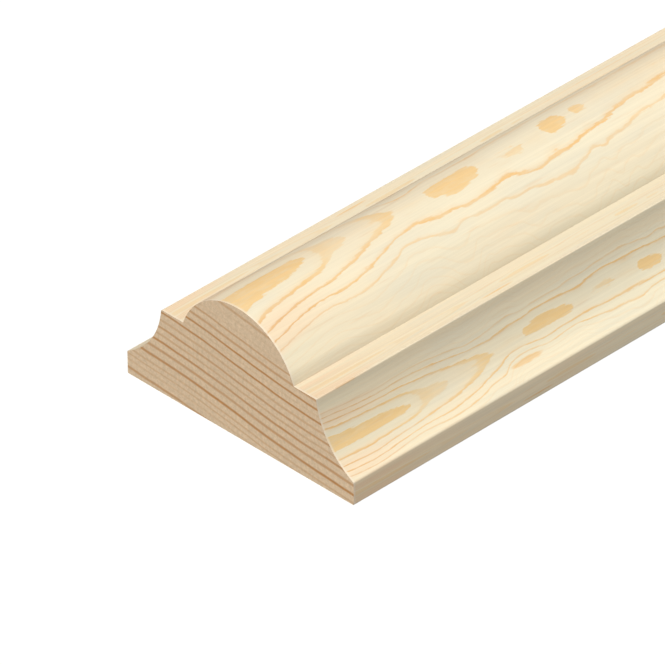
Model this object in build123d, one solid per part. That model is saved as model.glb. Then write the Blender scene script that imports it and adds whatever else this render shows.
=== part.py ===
from build123d import *
import os

# A dado rail: one length of planed softwood run through a moulder and cut square at both ends.
# Millimetres. It lies on its flat back, the face that goes against the wall.
# X runs along the rail, Y across it and Z out from the back. The origin is the middle of the back.

# Stock
LENGTH = 2400.0
WIDTH = 44.0
THICKNESS = 21.5

# Section, the same on both sides of the middle
STEP_HEIGHT = 3.7  # square edge next to the wall
COVE_WIDTH = 7.0  # hollow that climbs from the square edge to the fillet
COVE_RADIUS = 13.1
FILLET_WIDTH = 4.3  # flat strip between the hollow and the round
FILLET_HEIGHT = 13.9  # of that strip, above the back
ARRIS_RADIUS = 0.2  # softened outer corners

NODE = "rail"


def section():
    """The cross-section, with sketch x across the rail and sketch y away from the wall."""
    edge = WIDTH / 2
    shoulder = edge - COVE_WIDTH
    round_foot = shoulder - FILLET_WIDTH

    with BuildSketch(Plane.YZ) as profile:
        with BuildLine():
            back = Line((-edge, 0), (edge, 0))
            right_step = Line(back @ 1, (edge, STEP_HEIGHT))
            right_cove = RadiusArc(right_step @ 1, (shoulder, FILLET_HEIGHT), COVE_RADIUS)
            right_fillet = Line(right_cove @ 1, (round_foot, FILLET_HEIGHT))
            top = ThreePointArc(right_fillet @ 1, (0, THICKNESS), (-round_foot, FILLET_HEIGHT))
            left_fillet = Line(top @ 1, (-shoulder, FILLET_HEIGHT))
            left_cove = RadiusArc(left_fillet @ 1, (-edge, STEP_HEIGHT), COVE_RADIUS)
            Line(left_cove @ 1, back @ 0)
        make_face()
        outer_corners = [v for v in profile.vertices() if abs(v.X) > shoulder - ARRIS_RADIUS]
        fillet(outer_corners, ARRIS_RADIUS)
    return profile.sketch


def rail():
    """The section carried along the whole length of the stock."""
    return extrude(section(), amount=LENGTH / 2, both=True)


def main():
    os.makedirs("parts", exist_ok=True)
    export_step(rail(), f"parts/{NODE}.step")


main()
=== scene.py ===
import itertools
import math
from types import SimpleNamespace

import bpy
from mathutils import Matrix, Vector


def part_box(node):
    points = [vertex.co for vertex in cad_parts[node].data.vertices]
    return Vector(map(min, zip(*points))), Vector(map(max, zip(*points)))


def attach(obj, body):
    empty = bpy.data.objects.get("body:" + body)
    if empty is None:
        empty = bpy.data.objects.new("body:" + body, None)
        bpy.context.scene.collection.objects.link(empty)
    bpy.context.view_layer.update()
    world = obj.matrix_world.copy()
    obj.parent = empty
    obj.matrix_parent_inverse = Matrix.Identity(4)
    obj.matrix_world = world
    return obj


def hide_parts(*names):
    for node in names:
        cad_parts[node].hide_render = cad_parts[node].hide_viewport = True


MM = 0.001
WHITE = (1.0, 1.0, 1.0, 1.0)

# The rail's section, as the solid has it
EDGE = 22.0 * MM
THICKNESS = 21.5 * MM
STEP_HEIGHT = 3.7 * MM
COVE_WIDTH = 7.0 * MM
COVE_RADIUS = 13.1 * MM
FILLET_WIDTH = 4.3 * MM
FILLET_HEIGHT = 13.9 * MM
ARRIS = 0.2 * MM
SHOULDER = EDGE - COVE_WIDTH
CROWN_FOOT = SHOULDER - FILLET_WIDTH

# Mesh
STATIONS = 24  # lengths that the rail is divided into, a multiple of the rows below
CORNER_POINTS = 5
SUPPORT = 0.05 * MM  # a narrow face beside each corner keeps the flats flat in the shading
FIGURE_MAP = "figure"

# Map for baking: the rail cut into rows that lie above each other, with the two ends on top
BAKE_MAP = "OFBake"
BAKE_ROWS = 4
BAKE_GAP = 0.006
BAKE_ENDS = (0.20, 0.10)  # width and height of an end
BACK_ROOM = 0.4  # share of its real width that the plain back gets

# Camera, placed from the near bottom corner of the cut end
CAMERA_AZIMUTH = math.radians(-44.10)
CAMERA_ELEVATION = math.radians(34.89)
CAMERA_ROLL = math.radians(-0.736)
CAMERA_DISTANCE = 1.2872
CAMERA_LEFT = 2.86 * MM
CAMERA_UP = 23.19 * MM
CLIP_NEAR = 0.01
CLIP_FAR = 100.0
LENS = 519.6
SENSOR = 36.0

# Light
KEY_FROM = (-0.65, -0.335, 0.685)
KEY_STRENGTH = 3.62
KEY_COLOUR = (0.90, 1.0, 0.98)
FILL_FROM = (1.0, 0.36, 0.08)
FILL_STRENGTH = 0.8
FILL_COLOUR = (0.92, 1.0, 1.0)
SUN_SOFTNESS = math.radians(20)
SKY_STRENGTH = 0.45
SKY_COLOUR = (1.0, 0.79, 0.72)
FLOOR_SIZE = 40.0
FLOOR_BOUNCE = 0.05
FLOOR_GLOW = 0.62  # share of the floor's white, to the camera, that a shadow can't reach

# Figure of the wood near the cut end. Each list has mm from that end, and a value there.
FIGURE_REACH = 100 * MM
FIGURE_FADE = 15 * MM

# How many rings the middle of a face stands above the longest wavy line
MIDDLE_HEIGHTS = (
    (0, 3.50), (3, 3.36), (10, 3.30), (12.5, 3.22), (14.2, 3.08), (15.2, 2.93), (16.5, 2.66),
    (17.5, 2.45), (19, 2.27), (21.5, 2.12), (22.6, 1.97), (24, 1.86), (26, 1.70), (28, 1.50),
    (29.5, 1.26), (31, 1.0), (33, 0.86), (35.5, 0.88), (36.6, 1.0), (37.6, 1.20), (39.5, 1.35),
    (41, 1.41), (43, 1.33), (45, 1.28), (46.3, 1.10), (47, 0.96), (48.5, 0.84), (50.3, 1.01),
    (52, 1.06), (53.5, 1.09), (55.2, 1.01), (57, 0.83), (59.2, 0.98), (60.2, 1.22), (62.5, 1.26),
    (64.0, 1.0), (65, 0.93), (66, 1.10), (67.4, 1.12), (68.3, 0.97), (70, 0.83), (80, 0.66),
    (100, 0.50),
)
HIGHEST = 4  # rings, a limit above all of them

# Where that middle lies across the face, from 0 to 1
MIDDLE_PLACES = (
    (0, 0.480), (5, 0.445), (10, 0.430), (14.5, 0.410), (20, 0.420), (26, 0.430), (31, 0.452),
    (37, 0.465), (41, 0.475), (46.5, 0.445), (54, 0.495), (61.5, 0.450), (66.7, 0.440),
    (80, 0.440), (100, 0.450),
)

# Where the longest wavy line lies across the face, on each side of the middle
LOWER_LINE = (
    (0, 0.775), (3, 0.750), (7, 0.722), (10, 0.708), (15, 0.712), (17, 0.706), (20, 0.686),
    (22, 0.667), (25, 0.641), (27, 0.616), (29, 0.612), (31, 0.605), (33, 0.621), (35, 0.632),
    (38, 0.633), (40, 0.650), (43, 0.646), (46, 0.636), (48.5, 0.632), (51, 0.655), (54, 0.672),
    (57, 0.660), (61, 0.650), (63, 0.630), (67, 0.622), (70, 0.600), (73, 0.578), (77, 0.574),
    (81, 0.555), (90, 0.58), (100, 0.61),
)
UPPER_LINE = (
    (0, 0.132), (3, 0.108), (6, 0.100), (10, 0.120), (15, 0.140), (20, 0.134), (23, 0.150),
    (26, 0.182), (28, 0.222), (31, 0.268), (33, 0.330), (35, 0.346), (38, 0.325), (40, 0.308),
    (44, 0.318), (48, 0.318), (52, 0.296), (58, 0.286), (64, 0.280), (75, 0.29), (90, 0.27),
    (100, 0.28),
)

# How dark the late wood is around the middle
MIDDLE_DARKNESS = (
    (0, 1.0), (9, 1.05), (14, 1.0), (16, 0.72), (20, 0.55), (23, 0.6), (27, 0.75), (31, 0.8),
    (36, 1.0), (46, 1.0), (50, 0.55), (55, 0.7), (59, 1.0), (64, 0.9), (70, 0.8), (100, 0.85),
)
DARKEST = 2  # a limit above all of them

# Late wood on the faces
RING_FALL = 1.6  # power with which the rings run out from the middle of a face towards its edges
LEAST_FALL = 0.6  # rings between the middle and the longest line, where they are fewest
RINGS_BELOW = 20  # keeps the count of rings above 0
LATE_SHARE = 0.22  # of a ring
LATE_SHARE_INSIDE = 0.40  # added to that in the middle of the figure
FAINT_LEVEL = -2.1  # where the rings are faintest, counted from the longest line
FAINT_RING = 0.15
FAR_SIDE = (3.6 * MM, 5.4 * MM)  # where the rings on the round turn paler towards its far side
FAR_SIDE_LOSS = 0.6
PATCH_AT = (35.5 * MM, 0.205)
PATCH_REACH = (3.4 * MM, 0.042)
PATCH_STRENGTH = 0.7

# Colours of the faces
EARLY_WOOD = (0.800, 0.718, 0.545)
ASH_WOOD = (0.730, 0.675, 0.545)
WARM_WOOD = (0.825, 0.698, 0.510)
PEACH_WOOD = (0.830, 0.650, 0.460)
LATE_WOOD = (0.815, 0.570, 0.280)
LINE_WOOD = (0.780, 0.505, 0.235)  # the same where it shows as a thin line
EDGE_WOOD = (0.720, 0.430, 0.200)  # late wood near the cut end
EDGE_WOOD_REACH = (16 * MM, 2 * MM)  # where that begins, and where it is full
# A pale line painted along the edge of the cut end: a painted highlight
CUT_EDGE_HIGHLIGHT = (0.850, 0.740, 0.610)
CUT_EDGE_HIGHLIGHT_REACH = (0.45 * MM, 0.15 * MM)
# Painted shade high in the coves and at the foot of the round
COVE_PAINTED_SHADE = 0.16
COVE_PAINTED_SHADE_HEIGHTS = (4.2 * MM, 8.5 * MM)
FOOT_PAINTED_SHADE = 0.22
FOOT_PAINTED_SHADE_WIDTH = 1.0 * MM
# Makes the fillets and steps a little darker
NARROW_DARKENING = 0.05

# Surface
SHINE = 0.2
BUMP_STRENGTH = 0.5
FACE_ROUGHNESS = 0.68
FACE_RELIEF = 0.05 * MM
END_ROUGHNESS = 0.78
END_RELIEF = 0.12 * MM

# Rings on the cut ends: height above the back at the middle of the width, in mm, and how dark
END_RINGS = (
    (-4.0, 0.5), (-2.4, 0.5), (-0.95, 0.7), (0.4, 0.2), (1.4, 0.35), (2.35, 0.35), (3.75, 0.95),
    (5.35, 0.65), (6.85, 0.85), (8.05, 0.4), (9.25, 0.7), (10.55, 0.4), (11.9, 1.0),
    (12.9, 0.15), (13.9, 0.95), (15.3, 0.6), (16.65, 0.6), (17.65, 0.1), (19.1, 0.08),
    (20.4, 0.5), (22.0, 0.3), (23.5, 0.3), (25.0, 0.3),
)
END_SLOPE = 0.105
END_BEND = 0.22
END_BEND_WIDTH = 5 * MM
END_WOOD = (0.650, 0.474, 0.322)
END_LINE = (0.460, 0.222, 0.085)


# Section


def line(start, end):
    """A straight run: a function that gives the place at a share of it, and its length."""
    start, end = Vector(start), Vector(end)
    return (lambda share: start.lerp(end, share)), (end - start).length


def arc(start, end, radius, hollow):
    """A round run, with its centre outside the wood where it is hollow."""
    start, end = Vector(start), Vector(end)
    chord = end - start
    outwards = Vector((chord.y, -chord.x)).normalized()
    drop = math.sqrt(radius ** 2 - (chord.length / 2) ** 2)
    centre = (start + end) / 2 + outwards * (drop if hollow else -drop)
    first = math.atan2(start.y - centre.y, start.x - centre.x)
    turn = 2 * math.asin(chord.length / 2 / radius) * (-1 if hollow else 1)

    def place(share):
        angle = first + turn * share
        return centre + radius * Vector((math.cos(angle), math.sin(angle)))

    return place, abs(turn) * radius


def mirrored(run):
    """The same run on the other side of the middle, walked the other way."""
    place, length = run

    def other(share):
        across, up = place(1 - share)
        return Vector((-across, up))

    return other, length


def strips():
    """The faces round the section, from the back on.

    Each has its run, the parts that this is cut into, the shift of its figure in metres,
    whether the figure is flipped, and whether it starts or ends in a sharp inner corner.
    """
    crown_rise = THICKNESS - FILLET_HEIGHT
    crown_radius = (CROWN_FOOT ** 2 + crown_rise ** 2) / (2 * crown_rise)
    crown_ends = (CROWN_FOOT, FILLET_HEIGHT), (-CROWN_FOOT, FILLET_HEIGHT)
    step = line((EDGE, 0), (EDGE, STEP_HEIGHT))
    cove = arc((EDGE, STEP_HEIGHT), (SHOULDER, FILLET_HEIGHT), COVE_RADIUS, hollow=True)
    fillet = line((SHOULDER, FILLET_HEIGHT), (CROWN_FOOT, FILLET_HEIGHT))
    crown = arc(*crown_ends, crown_radius, hollow=False)
    return [
        dict(run=line((-EDGE, 0), (EDGE, 0)), parts=12, shift=1.90),
        dict(run=step, parts=3, shift=0.60),
        dict(run=cove, parts=20, shift=1.10),
        dict(run=fillet, parts=4, shift=0.0, sharp_end=True),
        dict(run=crown, parts=44, shift=0.0, sharp_start=True, sharp_end=True),
        dict(run=mirrored(fillet), parts=4, shift=0.0, flipped=True, sharp_start=True),
        dict(run=mirrored(cove), parts=20, shift=0.0, flipped=True),
        dict(run=mirrored(step), parts=3, shift=0.0, flipped=True),
    ]


def outline():
    """Points round the section, the face after each point, and which points are sharp corners.

    A face is the shift of its figure and its two places across.
    """
    points, faces, sharp = [], [], []
    faces_round = strips()
    for strip, following in zip(faces_round, faces_round[1:] + faces_round[:1]):
        place, length = strip["run"]
        start = 0 if strip.get("sharp_start") else ARRIS / length
        end = 1 if strip.get("sharp_end") else 1 - ARRIS / length
        support = SUPPORT / length
        inner = [start + (end - start) * i / strip["parts"] for i in range(1, strip["parts"])]
        shares = [start, start + support, *inner, end - support, end]
        flipped = strip.get("flipped")
        across = [1 - share if flipped else share for share in shares]
        points += [place(share) for share in shares[:-1]]
        faces += [(strip["shift"], *pair) for pair in zip(across, across[1:])]
        if strip.get("sharp_end"):
            sharp.append(len(points))
            continue
        next_place, next_length = following["run"]
        corner, target = place(1), next_place(ARRIS / next_length)
        for i in range(CORNER_POINTS):
            t = i / CORNER_POINTS
            points.append(place(end) * (1 - t) ** 2 + corner * 2 * t * (1 - t) + target * t ** 2)
            faces.append((strip["shift"], across[-1], across[-1]))
    return points, faces, sharp


# Mesh


def places_round(points):
    """How far round the section each point lies, from 0 to 1, with less room for the back."""
    steps = []
    for start, end in zip(points, points[1:] + points[:1]):
        on_back = max(start.y, end.y) < SUPPORT
        steps.append((end - start).length * (BACK_ROOM if on_back else 1))
    so_far = list(itertools.accumulate(steps, initial=0))
    return [place / so_far[-1] for place in so_far]


def side_corners(points):
    """Places on the bake's map for the corners of the side faces."""
    around = places_round(points)
    columns = STATIONS // BAKE_ROWS
    room = (1 - BAKE_ENDS[1] - BAKE_GAP) / BAKE_ROWS
    corners = []
    for j in range(STATIONS):
        row, column = divmod(j, columns)
        left, right = (BAKE_GAP + (1 - 2 * BAKE_GAP) * (column + i) / columns for i in range(2))
        for places in zip(around, around[1:]):
            low, high = (BAKE_GAP + row * room + (room - BAKE_GAP) * place for place in places)
            corners += [(left, low), (left, high), (right, high), (right, low)]
    return corners


def end_corners(points, left):
    """Places on the bake's map for the corners of an end."""
    width, height = BAKE_ENDS[0], BAKE_ENDS[1] - BAKE_GAP
    bottom = 1 - BAKE_ENDS[1]
    corners = []
    for point in points:
        u = left + width * (point.x / EDGE + 1) / 2
        corners.append((u, bottom + height * point.y / THICKNESS))
    return corners


def rail_mesh(low_x, high_x):
    """The section carried along the rail.

    Its figure map has the distance from the cut end and the place across each face.
    """
    points, faces, sharp = outline()
    count = len(points)
    stations = [low_x + (high_x - low_x) * i / STATIONS for i in range(STATIONS + 1)]
    vertices = [(x, *point) for x in stations for point in points]

    quads, map_corners = [], []
    for j in range(STATIONS):
        for i, (shift, here, there) in enumerate(faces):
            following = (i + 1) % count
            base, ahead = j * count, (j + 1) * count
            quads.append((base + i, base + following, ahead + following, ahead + i))
            near, far = stations[j] - low_x + shift, stations[j + 1] - low_x + shift
            map_corners += [(near, here), (near, there), (far, there), (far, here)]
    low_end = tuple(reversed(range(count)))
    high_end = tuple(range(STATIONS * count, (STATIONS + 1) * count))

    mesh = bpy.data.meshes.new("moulding")
    mesh.from_pydata(vertices, [], quads + [low_end, high_end])
    figure = mesh.uv_layers.new(name=FIGURE_MAP)
    for loop, corner in zip(figure.data, map_corners):
        loop.uv = corner
    low_corners = end_corners(points[::-1], BAKE_GAP)
    high_corners = end_corners(points, 2 * BAKE_GAP + BAKE_ENDS[0])
    bake_map = mesh.uv_layers.new(name=BAKE_MAP)
    for loop, corner in zip(bake_map.data, side_corners(points) + low_corners + high_corners):
        loop.uv = corner
    for face in mesh.polygons:
        is_end = face.index >= len(quads)
        face.use_smooth = not is_end
        face.material_index = int(is_end)
    for edge in mesh.edges:
        first, second = (vertex % count for vertex in edge.vertices)
        edge.use_edge_sharp = first == second and first in sharp
    mesh.validate()
    return mesh


# Node graphs, written as sums


class Signal:
    """A socket of a node graph that can be added, multiplied and so on."""

    def __init__(self, graph, socket):
        self.graph = graph
        self.socket = socket

    def __add__(self, other):
        return self.graph.maths("ADD", self, other)

    def __sub__(self, other):
        return self.graph.maths("SUBTRACT", self, other)

    def __rsub__(self, other):
        return self.graph.maths("SUBTRACT", other, self)

    def __mul__(self, other):
        return self.graph.maths("MULTIPLY", self, other)

    def __truediv__(self, other):
        return self.graph.maths("DIVIDE", self, other)

    __radd__ = __add__
    __rmul__ = __mul__


class Graph:
    """The nodes of one material."""

    def __init__(self, name):
        self.material = bpy.data.materials.new(name)
        self.material.use_nodes = True
        self.tree = self.material.node_tree
        self.tree.nodes.clear()

    def node(self, kind, inputs, **settings):
        """A new node with its inputs linked or set, by name or number."""
        made = self.tree.nodes.new(kind)
        for name, value in settings.items():
            setattr(made, name, value)
        for key, value in inputs.items():
            if isinstance(value, Signal):
                self.tree.links.new(value.socket, made.inputs[key])
            else:
                made.inputs[key].default_value = value
        return made

    def signal(self, made, output=0):
        """An output of a node, by name or number."""
        return Signal(self, made.outputs[output])

    def maths(self, operation, *values):
        made = self.node("ShaderNodeMath", dict(enumerate(values)), operation=operation)
        return self.signal(made)

    def power(self, value, exponent):
        return self.maths("POWER", value, exponent)

    def least(self, one, other):
        return self.maths("MINIMUM", one, other)

    def most(self, one, other):
        return self.maths("MAXIMUM", one, other)

    def unsigned(self, value):
        return self.maths("ABSOLUTE", value)

    def fraction(self, value):
        return self.maths("FRACT", value)

    def over(self, value, limit):
        """1 over the limit, and 0 elsewhere."""
        return self.maths("GREATER_THAN", value, limit)

    def under(self, value, limit):
        """1 under the limit, and 0 elsewhere."""
        return self.maths("LESS_THAN", value, limit)

    def rise(self, value, low, high):
        """0 below low and 1 above high, or the reverse where low is the larger."""
        inputs = {"Value": value, "From Min": low, "From Max": high}
        made = self.node("ShaderNodeMapRange", inputs, interpolation_type="SMOOTHSTEP")
        return self.signal(made)

    def vector(self, x, y, z):
        return self.signal(self.node("ShaderNodeCombineXYZ", {"X": x, "Y": y, "Z": z}))

    def split(self, vector):
        made = self.node("ShaderNodeSeparateXYZ", {0: vector})
        return [self.signal(made, i) for i in range(3)]

    def rail_places(self):
        """Place in the rail, as x, y and z."""
        return self.split(self.signal(self.node("ShaderNodeTexCoord", {}), "Object"))

    def noise(self, x, y, z, detail=2.0, roughness=0.5):
        """Soft noise about 0, within about a half each way."""
        place = self.vector(x, y, z)
        inputs = {"Vector": place, "Scale": 1.0, "Detail": detail, "Roughness": roughness}
        return self.signal(self.node("ShaderNodeTexNoise", inputs)) - 0.5

    def curve(self, value, points, high, span):
        """A curve through points of (place, value), with places up to span and values to high."""
        made = self.node("ShaderNodeFloatCurve", {"Value": value})
        curve = made.mapping.curves[0]
        pairs = [(place / span, level / high) for place, level in points]
        curve.points[0].location, curve.points[1].location = pairs[0], pairs[-1]
        for pair in pairs[1:-1]:
            curve.points.new(*pair)
        made.mapping.update()
        return self.signal(made) * high

    def mix(self, share, first, second):
        """Colour between first and second, the node's inputs 6 and 7, from its output 2."""
        inputs = {"Factor": share, 6: first, 7: second}
        made = self.node("ShaderNodeMix", inputs, data_type="RGBA", clamp_factor=True)
        return self.signal(made, 2)

    def lit(self, colour, factor):
        """Colour times a number."""
        inputs = {0: colour, "Scale": factor}
        made = self.node("ShaderNodeVectorMath", inputs, operation="SCALE")
        return self.signal(made)

    def finish(self, colour, roughness, height, depth):
        """The surface, with a bump of that height map and depth."""
        inputs = {"Strength": BUMP_STRENGTH, "Distance": depth, "Height": height}
        bump = self.signal(self.node("ShaderNodeBump", inputs))
        inputs = {"Base Color": colour, "Roughness": roughness, "Normal": bump}
        shader = self.node("ShaderNodeBsdfPrincipled", inputs)
        shader.inputs["Specular IOR Level"].default_value = SHINE
        self.node("ShaderNodeOutputMaterial", {"Surface": self.signal(shader)})
        return self.material


def opaque(colour):
    return (*colour, 1.0)


# Wood on the faces


def drawn_figure(graph, along):
    """Near the cut end: height and place of the middle, and place of the line on each side."""
    lists = ((MIDDLE_HEIGHTS, HIGHEST), (MIDDLE_PLACES, 1), (LOWER_LINE, 1), (UPPER_LINE, 1))
    near = along / FIGURE_REACH
    return [graph.curve(near, points, high, FIGURE_REACH / MM) for points, high in lists]


def grown_figure(graph, along):
    """The same four on the rest of the rail, as slow noise has them."""
    middle = 0.46 + 0.25 * graph.noise(along * 7, 1.4, 5, detail=1)
    wide, narrow = graph.noise(along * 6, 6.1, 2, detail=1), graph.noise(along * 40, 2.2, 7)
    spread = 0.20 + 0.12 * wide + 0.06 * narrow
    slow, quick = graph.noise(along * 5, 3.7, 0, detail=1), graph.noise(along * 60, 8.2, 0)
    height = 1.3 + 4.0 * slow + 0.9 * quick
    return [height, middle, middle + spread, middle - spread]


def ring_height(graph, along, across):
    """Where each place of a face lies among the growth rings, as three signals.

    The first is how many rings it is above or below the longest line, the second how far out
    it is, as a share of the way to that line, and the third how many rings lie between that
    line and the middle.
    """
    drawn, grown = drawn_figure(graph, along), grown_figure(graph, along)
    far = graph.rise(along, FIGURE_REACH - FIGURE_FADE, FIGURE_REACH)
    height, middle, lower, upper = (a + (b - a) * far for a, b in zip(drawn, grown))

    off = across - middle
    reach = (middle - upper) + (lower - 2 * middle + upper) * graph.over(off, 0.0)
    out = graph.unsigned(off / reach)
    slow = 0.12 * graph.noise(along * 160, across * 4, 0)
    wander = slow + 0.26 * graph.noise(along * 700, across * 18, 4, detail=4, roughness=0.65)
    teeth = 0.34 * graph.noise(along * 240, across * 55, 1, detail=3, roughness=0.6)
    fall = graph.most(height, LEAST_FALL)
    return height - fall * graph.power(out, RING_FALL) + wander + teeth, out, fall


def narrow_faces(graph, y, z):
    """1 on the fillets and the steps, and 0 on the round and the coves."""
    fillet = graph.rise(graph.unsigned(z - FILLET_HEIGHT), 0.25 * MM, 0.05 * MM)
    step = graph.rise(graph.unsigned(y), EDGE - 0.3 * MM, EDGE - 0.1 * MM)
    return graph.most(fillet, step)


def face_signals(graph):
    """What the look of a face is worked out from.

    along, across: metres along the figure, and place across the face, from 0 to 1
    x, y, z: place in the rail
    level, out, fall: as ring_height says
    inside: 1 at the middle of the figure, down to 0 at its longest line
    streaks: fine fibre along the grain
    narrow: as narrow_faces says
    """
    figure = graph.signal(graph.node("ShaderNodeUVMap", {}, uv_map=FIGURE_MAP))
    along, across, _ = graph.split(figure)
    x, y, z = graph.rail_places()
    level, out, fall = ring_height(graph, along, across)
    return SimpleNamespace(
        along=along, across=across, x=x, y=y, z=z, level=level, out=out, fall=fall,
        inside=graph.power(1.0 - graph.least(out, 1.0), 2.4),
        streaks=graph.noise(x * 28, y * 2300, z * 2300, detail=3, roughness=0.6),
        narrow=narrow_faces(graph, y, z),
    )


def ring_strength(graph, at):
    """How dark the rings are: as drawn around the middle, and fainter further away from it."""
    strength = graph.rise(at.level, FAINT_LEVEL, 0.2) * (1 - FAINT_RING) + FAINT_RING
    upper = graph.rise(at.across, 0.42, 0.30) * graph.rise(at.level, FAINT_LEVEL, -0.9)
    strength = strength + upper * (1.0 - strength) * 0.6
    near = at.along / FIGURE_REACH
    drawn = graph.curve(near, MIDDLE_DARKNESS, DARKEST, FIGURE_REACH / MM)
    strength = strength * (1.0 - (1.0 - drawn) * graph.rise(at.out, 0.70, 0.35))
    crest = graph.rise(at.z, FILLET_HEIGHT, FILLET_HEIGHT + 0.5 * MM)
    return strength * (1.0 - FAR_SIDE_LOSS * crest * graph.rise(at.y, *FAR_SIDE))


def small_patch(graph, along, across):
    """A small loose patch of late wood above the first island."""
    off_along = graph.power((along - PATCH_AT[0]) / PATCH_REACH[0], 2.0)
    off_across = graph.power((across - PATCH_AT[1]) / PATCH_REACH[1], 2.0)
    distance = off_along + off_across + 1.2 * graph.noise(along * 500, across * 20, 6)
    return graph.rise(distance, 1.0, 0.3)


def late_wood(graph, at):
    """How much late wood shows: in each ring a band with one sharp edge, dark in patches."""
    depth = graph.fraction(at.level + RINGS_BELOW)
    band = LATE_SHARE - 0.01 * at.fall + LATE_SHARE_INSIDE * at.inside
    core = graph.rise(depth, band + 0.05, band - 0.05)
    halo = graph.rise(depth, 2.2 * band, 0.3 * band)
    late = graph.rise(depth, 0.0, 0.07) * (0.6 * core + 0.4 * halo)

    slow = graph.noise(at.along * 70, at.level * 0.8, 2)
    quick = graph.noise(at.along * 420, at.across * 30, 8, detail=3)
    patchy = 0.88 + 0.8 * slow + 0.9 * at.streaks + 0.08 * at.inside + 0.8 * quick
    late = late * ring_strength(graph, at) * patchy * (1.0 - 0.55 * at.narrow)
    return late + PATCH_STRENGTH * small_patch(graph, at.along, at.across)


def face_colour(graph, at, late):
    """Early wood with warm, greyish and tan places, then the late wood, pores and a painted
    highlight on the cut edge.
    """
    warm = graph.rise(graph.noise(at.along * 26, at.across * 2.6, 9), -0.2, 0.2)
    ashen = graph.rise(graph.noise(at.along * 55, at.across * 5, 12, detail=3), -0.05, 0.2)
    pores = graph.rise(graph.noise(at.x * 130, at.y * 1500, at.z * 1500, detail=2), 0.10, 0.28)
    near_end = graph.rise(at.along, *EDGE_WOOD_REACH)
    stained = near_end * (graph.rise(at.out, 0.35, 0.75) * graph.rise(at.level, -1.8, -0.8))
    tan = graph.rise(graph.noise(at.x * 45, at.y * 1100, 3), -0.25, 0.3)
    tan = tan * (0.35 + 0.55 * near_end) * at.narrow
    broad = graph.rise(at.inside, 0.05, 0.3)
    rim_highlight = graph.rise(at.along, *CUT_EDGE_HIGHLIGHT_REACH)

    late_colour = graph.mix(broad, opaque(LINE_WOOD), opaque(LATE_WOOD))
    late_colour = graph.mix(stained, late_colour, opaque(EDGE_WOOD))
    colour = graph.mix(warm * 0.6, opaque(EARLY_WOOD), opaque(WARM_WOOD))
    colour = graph.mix(ashen * 0.5, colour, opaque(ASH_WOOD))
    colour = graph.mix(0.75 * stained + tan, colour, opaque(PEACH_WOOD))
    colour = graph.mix(late, colour, late_colour)
    colour = graph.mix(pores * 0.18, colour, opaque(EDGE_WOOD))
    # Painted highlight along the edge of the cut end
    return graph.mix(rim_highlight * 0.6, colour, opaque(CUT_EDGE_HIGHLIGHT))


def painted_shade(graph, y, z):
    """Painted shade: darker colour high in the coves and at the foot of the round, where shade
    falls.
    """
    off = graph.unsigned(y)
    cove = graph.over(off, SHOULDER - 0.05 * MM) * graph.rise(z, *COVE_PAINTED_SHADE_HEIGHTS)
    foot = graph.rise(off, CROWN_FOOT - FOOT_PAINTED_SHADE_WIDTH, CROWN_FOOT)
    foot = graph.under(off, CROWN_FOOT + 0.01 * MM) * foot
    return 1.0 - COVE_PAINTED_SHADE * cove - FOOT_PAINTED_SHADE * foot


def face_wood():
    """Planed faces along the grain."""
    graph = Graph("planed_pine")
    at = face_signals(graph)
    late = late_wood(graph, at)
    broad = graph.noise(at.x * 9, at.y * 160, at.z * 160, detail=2)
    # The colour is darkened with painted shade high in the coves and at the foot of the round
    shade = (1.0 + 0.20 * at.streaks + 0.08 * broad) * painted_shade(graph, at.y, at.z)
    # The fillets and steps are made a little darker
    colour = graph.lit(face_colour(graph, at, late), shade * (1.0 - NARROW_DARKENING * at.narrow))
    roughness = FACE_ROUGHNESS - 0.08 * late + 0.10 * at.streaks
    return graph.finish(colour, roughness, at.streaks + 0.4 * late, FACE_RELIEF)


# Wood on the ends


def end_wood():
    """Sawn ends across the grain."""
    graph = Graph("sawn_pine_end")
    x, y, z = graph.rail_places()
    lowest = END_RINGS[0][0]
    span = END_RINGS[-1][0] - lowest
    wander = 0.25 * graph.noise(y * 260, z * 160, x)
    bend = END_BEND * graph.maths("SINE", y / END_BEND_WIDTH) + wander
    level = z / MM - END_SLOPE * y / MM - bend - lowest
    rings = [(place - lowest, number) for number, (place, _) in enumerate(END_RINGS)]
    darkness = [(place - lowest, dark) for place, dark in END_RINGS]
    number = graph.curve(level / span, rings, len(END_RINGS) - 1, span)
    dark = graph.curve(level / span, darkness, 1, span)
    part = graph.fraction(number)
    edge = graph.least(part, 1.0 - part)
    ring = graph.rise(edge, 0.24, 0.05) * dark

    cells = graph.noise(x * 900, y * 1800, z * 1800, detail=4, roughness=0.8)
    clouds = graph.noise(y * 130, z * 260, x, detail=2)
    rays = graph.noise(y * 2000, z * 160, x, detail=1)
    ring = ring * (1.0 + 0.9 * cells + 0.8 * clouds)
    colour = graph.mix(ring, opaque(END_WOOD), opaque(END_LINE))
    colour = graph.lit(colour, 1.0 + 0.80 * cells + 0.10 * clouds + 0.08 * rays)
    roughness = END_ROUGHNESS + 0.1 * cells
    return graph.finish(colour, roughness, cells + 0.3 * rays, END_RELIEF)


# Object


def make_rail():
    """The moulding with its wood, in place of the plain solid."""
    low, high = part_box("rail")
    rail = bpy.data.objects.new("moulding", rail_mesh(low[0], high[0]))
    bpy.context.scene.collection.objects.link(rail)
    rail.data.materials.append(face_wood())
    rail.data.materials.append(end_wood())
    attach(rail, "root")
    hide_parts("rail")
    return low


# Studio


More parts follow.
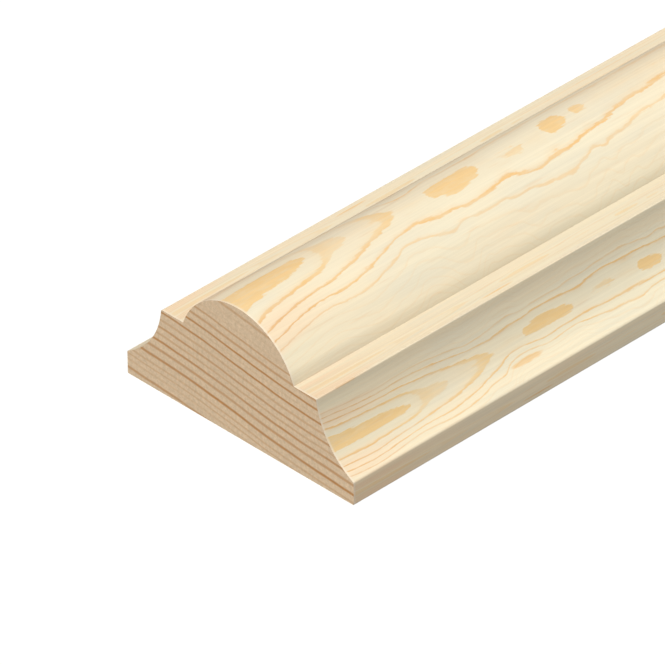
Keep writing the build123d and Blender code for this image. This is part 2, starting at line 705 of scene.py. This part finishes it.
def make_floor():
    """A floor that is white to the camera and keeps the shadow, and gives little light back."""
    half = FLOOR_SIZE / 2
    corners = [(-half, -half, 0), (half, -half, 0), (half, half, 0), (-half, half, 0)]
    mesh = bpy.data.meshes.new("floor")
    mesh.from_pydata(corners, [], [(0, 1, 2, 3)])
    floor = bpy.data.objects.new("floor", mesh)
    bpy.context.scene.collection.objects.link(floor)

    graph = Graph("floor_white")
    grey = opaque([FLOOR_BOUNCE] * 3)
    seen = graph.signal(graph.node("ShaderNodeBsdfDiffuse", {"Color": WHITE}))
    glow = graph.signal(graph.node("ShaderNodeEmission", {"Color": WHITE, "Strength": 1.0}))
    shown = graph.signal(graph.node("ShaderNodeMixShader", {0: FLOOR_GLOW, 1: seen, 2: glow}))
    hidden = graph.signal(graph.node("ShaderNodeBsdfDiffuse", {"Color": grey}))
    to_camera = graph.signal(graph.node("ShaderNodeLightPath", {}), "Is Camera Ray")
    surface = graph.signal(graph.node("ShaderNodeMixShader", {0: to_camera, 1: hidden, 2: shown}))
    graph.node("ShaderNodeOutputMaterial", {"Surface": surface})
    mesh.materials.append(graph.material)


def make_sun(name, source, strength, colour):
    """A soft sun that shines from the source towards the middle."""
    light = bpy.data.lights.new(name, "SUN")
    light.energy = strength
    light.color = colour
    light.angle = SUN_SOFTNESS
    sun = bpy.data.objects.new(name, light)
    sun.rotation_mode = "QUATERNION"
    sun.rotation_quaternion = Vector(source).to_track_quat("Z", "Y")
    bpy.context.scene.collection.objects.link(sun)


def make_sky():
    """A dim even sky that the camera sees as white."""
    world = bpy.data.worlds.new("studio")
    world.use_nodes = True
    tree = world.node_tree
    tree.nodes.clear()
    paths = tree.nodes.new("ShaderNodeLightPath")
    shown, felt = (tree.nodes.new("ShaderNodeBackground") for _ in range(2))
    shown.inputs["Color"].default_value = WHITE
    felt.inputs["Color"].default_value = opaque(SKY_COLOUR)
    felt.inputs["Strength"].default_value = SKY_STRENGTH
    either = tree.nodes.new("ShaderNodeMixShader")
    tree.links.new(paths.outputs["Is Camera Ray"], either.inputs[0])
    tree.links.new(felt.outputs[0], either.inputs[1])
    tree.links.new(shown.outputs[0], either.inputs[2])
    output = tree.nodes.new("ShaderNodeOutputWorld")
    tree.links.new(either.outputs[0], output.inputs["Surface"])
    bpy.context.scene.world = world


def make_camera(corner):
    """A long lens, placed and turned from the near bottom corner of the cut end."""
    right = Vector((math.cos(CAMERA_AZIMUTH), math.sin(CAMERA_AZIMUTH), 0))
    level = math.cos(CAMERA_ELEVATION)
    back = Vector((right.y * level, -right.x * level, math.sin(CAMERA_ELEVATION)))
    up = back.cross(right)
    turned_right = right * math.cos(CAMERA_ROLL) + up * math.sin(CAMERA_ROLL)
    turned_up = up * math.cos(CAMERA_ROLL) - right * math.sin(CAMERA_ROLL)
    place = corner + back * CAMERA_DISTANCE - turned_right * CAMERA_LEFT + turned_up * CAMERA_UP

    data = bpy.data.cameras.new("camera")
    data.sensor_width = SENSOR
    data.lens = LENS
    data.clip_start = CLIP_NEAR
    data.clip_end = CLIP_FAR
    camera = bpy.data.objects.new("camera", data)
    axes = Matrix((turned_right, turned_up, back)).transposed()
    camera.matrix_world = Matrix.Translation(place) @ axes.to_4x4()
    bpy.context.scene.collection.objects.link(camera)
    bpy.context.scene.camera = camera


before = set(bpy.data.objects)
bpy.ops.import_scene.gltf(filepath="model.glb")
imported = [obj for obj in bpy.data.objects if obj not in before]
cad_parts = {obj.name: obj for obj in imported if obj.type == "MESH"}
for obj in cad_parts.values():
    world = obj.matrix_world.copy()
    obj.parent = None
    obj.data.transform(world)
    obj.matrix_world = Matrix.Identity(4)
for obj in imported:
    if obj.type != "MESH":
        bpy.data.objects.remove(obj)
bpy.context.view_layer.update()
low_corner = make_rail()
make_floor()
make_sun("key", KEY_FROM, KEY_STRENGTH, KEY_COLOUR)
make_sun("fill", FILL_FROM, FILL_STRENGTH, FILL_COLOUR)
make_sky()
make_camera(Vector((low_corner[0], -EDGE, 0)))
bpy.context.scene.view_settings.view_transform = "Standard"
